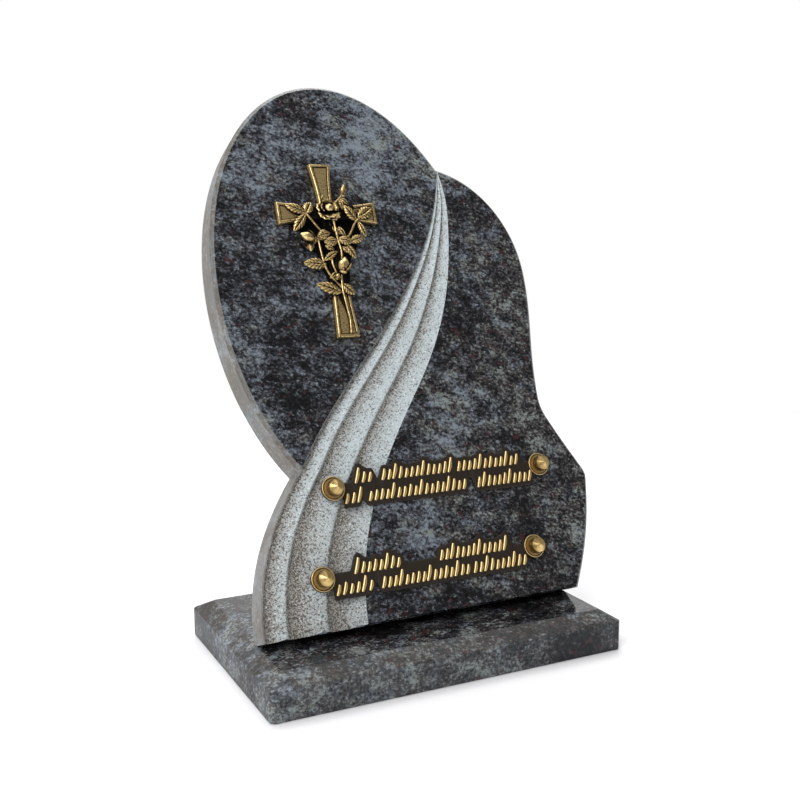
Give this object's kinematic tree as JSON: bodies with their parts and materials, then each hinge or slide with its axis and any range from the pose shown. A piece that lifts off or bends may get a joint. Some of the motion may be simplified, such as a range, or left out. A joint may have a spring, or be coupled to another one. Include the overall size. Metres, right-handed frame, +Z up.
{
  "type": "grave plaque",
  "caption": "Leaning granite grave plaque with an oval lobe, a fluted swag, a bronze rose cross and studded bronze inscription plaques on a bevelled plinth.",
  "frame": {"origin": "the centre of the plinth's underside", "axes": "+Z is up, +X is the viewer's right, and the face looks towards -Y and leans back towards +Y"},
  "size_m": [0.3207, 0.2481, 0.4544],
  "materials": {
    "plinth_granite": "polished blue-grey granite with honed bevels and edges",
    "stele_granite": "polished blue-grey granite with a pale sandblasted swag and honed chamfers",
    "cross_bronze": "cast bronze with a black patina in its recesses and rubbed golden crests",
    "plaque_bronze": "cast bronze with a dark brown ground and rubbed golden strokes",
    "stud_brass": "turned satin brass"
  },
  "bodies": {
    "root": {"plinth": "plinth_granite", "stele": "stele_granite", "rose_cross": "cross_bronze", "upper_inscription_plaque": "plaque_bronze", "lower_inscription_plaque": "plaque_bronze", "upper_left_stud": "stud_brass", "upper_right_stud": "stud_brass", "lower_left_stud": "stud_brass", "lower_right_stud": "stud_brass"}
  },
  "joints": []
}
